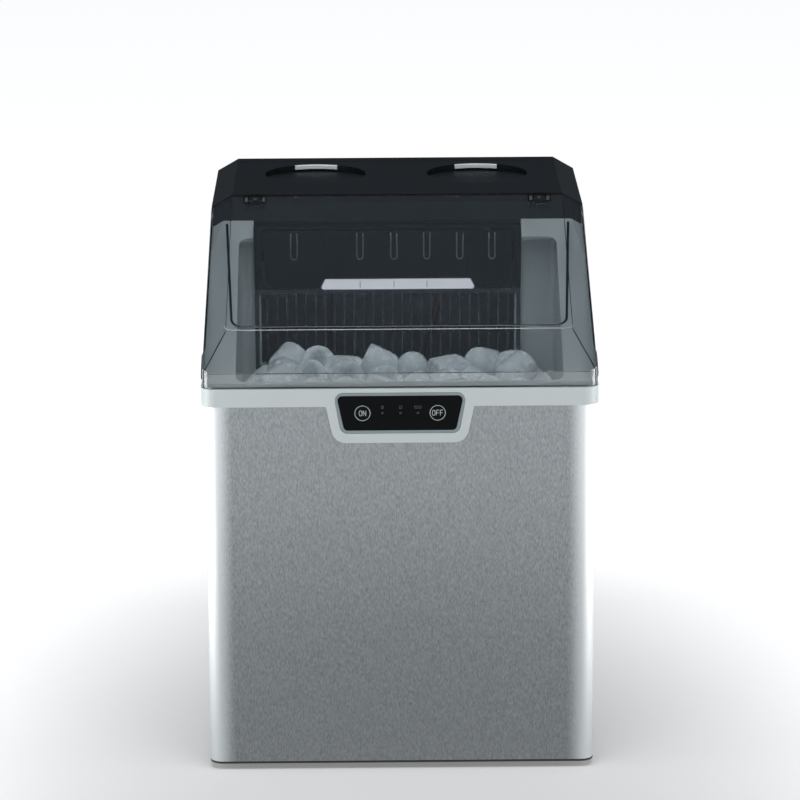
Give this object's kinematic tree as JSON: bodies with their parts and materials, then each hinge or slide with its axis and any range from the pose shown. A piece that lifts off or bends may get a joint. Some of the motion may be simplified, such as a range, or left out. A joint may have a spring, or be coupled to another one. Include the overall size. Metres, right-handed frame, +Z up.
{
  "type": "ice maker",
  "caption": "Free-standing ice maker with a steel-clad body, a slanted hinged clear lid over the ice bin, a black rear top cover and the ice-making works inside.",
  "frame": {"origin": "on the floor, under the middle of the object's box", "axes": "+Z up, -Y towards the front with the controls, +X to the right of someone who faces the front"},
  "size_m": [0.3724, 0.416, 0.514],
  "materials": {
    "steel": "vertical brushed grain, satin",
    "zinc": "galvanised sheet",
    "white": "fine satin moulding",
    "liner": "food-grade satin moulding",
    "black": "satin black moulding",
    "base": "textured black moulding",
    "bezel": "satin grey paint",
    "panel_glass": "gloss black overlay",
    "tinted": "smoke-blue clear polycarbonate",
    "pale": "pale grey gloss plastic",
    "rubber": "moulded rubber",
    "copper": "bright copper",
    "board": "green circuit board",
    "foam": "cut foam block",
    "silicone": "translucent silicone",
    "natural": "natural polypropylene",
    "aluminium": "thin bare fins",
    "iron": "black enamel"
  },
  "bodies": {
    "root": {"steel_wrap": "steel", "rear_panel": "zinc", "chassis": "zinc", "hot_gas_valve": "zinc", "fan_motor": "zinc", "rear_screw_1": "zinc", "rear_screw_2": "zinc", "rear_screw_3": "zinc", "rear_screw_4": "zinc", "top_frame": "white", "bin_liner": "liner", "rear_top_cover": "black", "bin_grille": "black", "chamber_housing": "black", "tray_motor": "black", "water_pump": "black", "fan_shroud": "black", "power_inlet": "black", "lid_hinge_pin_left": "black", "lid_hinge_pin_right": "black", "base_pan": "base", "control_bezel": "bezel", "control_panel": "panel_glass", "scoop_insert_left": "pale", "scoop_insert_right": "pale", "guide_bar": "pale", "indicator_water": "pale", "indicator_ice": "pale", "indicator_full": "pale", "foot_front_left": "rubber", "foot_front_right": "rubber", "foot_rear_left": "rubber", "foot_rear_right": "rubber", "compressor_mount_front_left": "rubber", "compressor_mount_front_right": "rubber", "compressor_mount_rear_left": "rubber", "compressor_mount_rear_right": "rubber", "evaporator": "copper", "filter_drier": "copper", "suction_line": "copper", "liquid_line": "copper", "discharge_line": "copper", "control_board": "board", "bin_foam": "foam", "fill_tube": "silicone", "drain_hose": "silicone", "water_tank": "natural", "float_stem": "natural", "drain_spout": "natural", "condenser": "aluminium", "compressor": "iron"},
    "lid": {"front_lid": "tinted"},
    "on_key": {"on_button": "panel_glass"},
    "off_key": {"off_button": "panel_glass"},
    "flap": {"ice_flap": "black"},
    "tray": {"water_tray": "natural"},
    "shovel": {"ice_shovel": "black"},
    "fan": {"fan_blade": "black"},
    "cap": {"drain_cap": "rubber"},
    "float": {"level_float": "black"}
  },
  "joints": [
    {"name": "lid_hinge", "type": "hinge", "parent": "root", "child": "lid", "pos_m": [0, 0.016, 0.5085], "axis": [-1, 0, 0], "range_deg": [0, 120]},
    {"name": "on_press", "type": "slide", "parent": "root", "child": "on_key", "axis": [0, 1, 0], "range_m": [0, 0.0008], "stiffness_N_per_m": 1500, "springref_m": -0.0004},
    {"name": "off_press", "type": "slide", "parent": "root", "child": "off_key", "axis": [0, 1, 0], "range_m": [0, 0.0008], "stiffness_N_per_m": 1500, "springref_m": -0.0004},
    {"name": "flap_swing", "type": "hinge", "parent": "root", "child": "flap", "pos_m": [0, -0.0095, 0.481], "axis": [-1, 0, 0], "range_deg": [0, 35]},
    {"name": "tray_tilt", "type": "hinge", "parent": "root", "child": "tray", "pos_m": [0, 0.068, 0.452], "axis": [1, 0, 0], "range_deg": [0, 70]},
    {"name": "shovel_slide", "type": "slide", "parent": "root", "child": "shovel", "axis": [0, -1, 0], "range_m": [0, 0.04]},
    {"name": "fan_spin", "type": "hinge", "parent": "root", "child": "fan", "pos_m": [0.095, 0.107, 0.098], "axis": [0, 1, 0], "continuous": true},
    {"name": "cap_pull", "type": "slide", "parent": "root", "child": "cap", "axis": [0, 1, 0], "range_m": [0, 0.03]},
    {"name": "float_rise", "type": "slide", "parent": "root", "child": "float", "axis": [0, 0, 1], "range_m": [0, 0.014]}
  ],
  "couplings": [
    {"joint": "shovel_slide", "follows": "tray_tilt", "m_per_rad": 0.0327}
  ]
}
